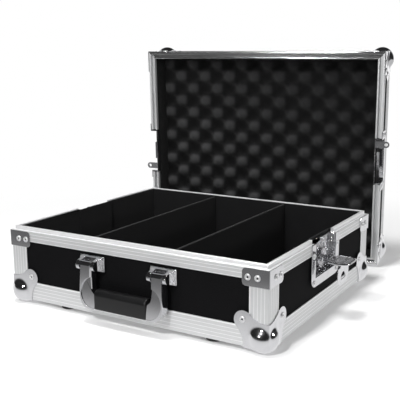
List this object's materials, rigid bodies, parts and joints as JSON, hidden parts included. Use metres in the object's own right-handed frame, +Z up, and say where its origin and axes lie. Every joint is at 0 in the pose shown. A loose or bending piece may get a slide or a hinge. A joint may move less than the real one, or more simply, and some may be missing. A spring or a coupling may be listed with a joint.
{
  "type": "cd storage flight case",
  "caption": "Open storage flight case with padded compartments for CDs, folding front handle, side twist latches and a foam-lined lift-off lid standing behind it.",
  "frame": {"origin": "bottom centre of the box round the open case and its lid, on the floor", "axes": "+Z up; -Y towards the front with the handle; the lid stands behind the base at +Y"},
  "size_m": [0.562, 0.588, 0.4167],
  "materials": {
    "aluminium": "ribbed extrusion, satin",
    "chrome": "bright plated steel",
    "black_laminate": "black textured laminate on plywood",
    "black_lining": "black felt lining",
    "black_foam": "egg-crate foam",
    "black_rubber": "matt",
    "black_plastic": "satin moulding"
  },
  "bodies": {
    "base": {"base_back_edge_angle": "aluminium", "base_back_panel": "black_laminate", "base_ball_corner_back_left": "chrome", "base_ball_corner_back_right": "chrome", "base_ball_corner_front_left": "chrome", "base_ball_corner_front_right": "chrome", "base_bottom_panel": "black_laminate", "base_corner_angle_back_left": "aluminium", "base_corner_angle_back_right": "aluminium", "base_corner_angle_front_left": "aluminium", "base_corner_angle_front_right": "aluminium", "base_front_edge_angle": "aluminium", "base_front_panel": "black_laminate", "base_left_edge_angle": "aluminium", "base_left_panel": "black_laminate", "base_lining": "black_lining", "base_right_edge_angle": "aluminium", "base_right_panel": "black_laminate", "base_rim_bracket_back_left": "chrome", "base_rim_bracket_back_right": "chrome", "base_rim_bracket_front_left": "chrome", "base_rim_bracket_front_right": "chrome", "base_rim_front": "aluminium", "base_rim_rear": "aluminium", "divider_left": "black_lining", "divider_right": "black_lining", "foot_back_left": "black_rubber", "foot_back_right": "black_rubber", "foot_front_left": "black_rubber", "foot_front_right": "black_rubber", "handle_mount_left": "chrome", "handle_mount_right": "chrome", "latch_left_dish": "chrome", "latch_right_dish": "chrome"},
    "handle": {"handle_arm_left": "chrome", "handle_arm_right": "chrome", "handle_grip": "black_plastic"},
    "lid": {"lid_ball_corner_lower_left": "chrome", "lid_ball_corner_lower_right": "chrome", "lid_ball_corner_upper_left": "chrome", "lid_ball_corner_upper_right": "chrome", "lid_edge_frame": "aluminium", "lid_foam": "black_foam", "lid_keeper_dish_left": "chrome", "lid_keeper_dish_right": "chrome", "lid_rim_bracket_lower_left": "chrome", "lid_rim_bracket_lower_right": "chrome", "lid_rim_bracket_upper_left": "chrome", "lid_rim_bracket_upper_right": "chrome", "lid_rim_lower": "aluminium", "lid_rim_upper": "aluminium", "lid_shell": "black_laminate"},
    "left_hook": {"latch_left_hook": "chrome"},
    "left_rotor": {"latch_left_rotor": "chrome"},
    "left_upper_wing": {"latch_left_upper_wing": "chrome"},
    "left_lower_wing": {"latch_left_lower_wing": "chrome"},
    "right_hook": {"latch_right_hook": "chrome"},
    "right_rotor": {"latch_right_rotor": "chrome"},
    "right_upper_wing": {"latch_right_upper_wing": "chrome"},
    "right_lower_wing": {"latch_right_lower_wing": "chrome"}
  },
  "joints": [
    {"name": "lid_lift", "type": "slide", "parent": "base", "child": "lid", "axis": [0, 0, 1], "range_m": [0, 0.2]},
    {"name": "handle_swing", "type": "hinge", "parent": "base", "child": "handle", "pos_m": [0, -0.28399, 0.091], "axis": [-1, 0, 0], "range_deg": [-3, 110]},
    {"name": "latch_left_twist", "type": "hinge", "parent": "base", "child": "left_rotor", "pos_m": [-0.2245, -0.06999, 0.091], "axis": [-1, 0, 0], "range_deg": [0, 180]},
    {"name": "latch_left_hook_slide", "type": "slide", "parent": "base", "child": "left_hook", "axis": [0, 0, -1], "range_m": [0, 0.01]},
    {"name": "latch_left_upper_wing_fold", "type": "hinge", "parent": "left_rotor", "child": "left_upper_wing", "pos_m": [-0.243, -0.06999, 0.091], "axis": [0, 1, 0], "range_deg": [0, 85]},
    {"name": "latch_left_lower_wing_fold", "type": "hinge", "parent": "left_upper_wing", "child": "left_lower_wing", "pos_m": [-0.265, -0.06999, 0.0862], "axis": [0, 1, 0], "range_deg": [-30, 85]},
    {"name": "latch_right_twist", "type": "hinge", "parent": "base", "child": "right_rotor", "pos_m": [0.2245, -0.06999, 0.091], "axis": [1, 0, 0], "range_deg": [0, 180]},
    {"name": "latch_right_hook_slide", "type": "slide", "parent": "base", "child": "right_hook", "axis": [0, 0, -1], "range_m": [0, 0.01]},
    {"name": "latch_right_upper_wing_fold", "type": "hinge", "parent": "right_rotor", "child": "right_upper_wing", "pos_m": [0.243, -0.06999, 0.091], "axis": [0, -1, 0], "range_deg": [0, 85]},
    {"name": "latch_right_lower_wing_fold", "type": "hinge", "parent": "right_upper_wing", "child": "right_lower_wing", "pos_m": [0.265, -0.06999, 0.0862], "axis": [0, -1, 0], "range_deg": [-30, 85]}
  ],
  "couplings": [
    {"joint": "latch_left_hook_slide", "follows": "latch_left_twist", "m_per_rad": 0.00318},
    {"joint": "latch_right_hook_slide", "follows": "latch_right_twist", "m_per_rad": 0.00318}
  ]
}
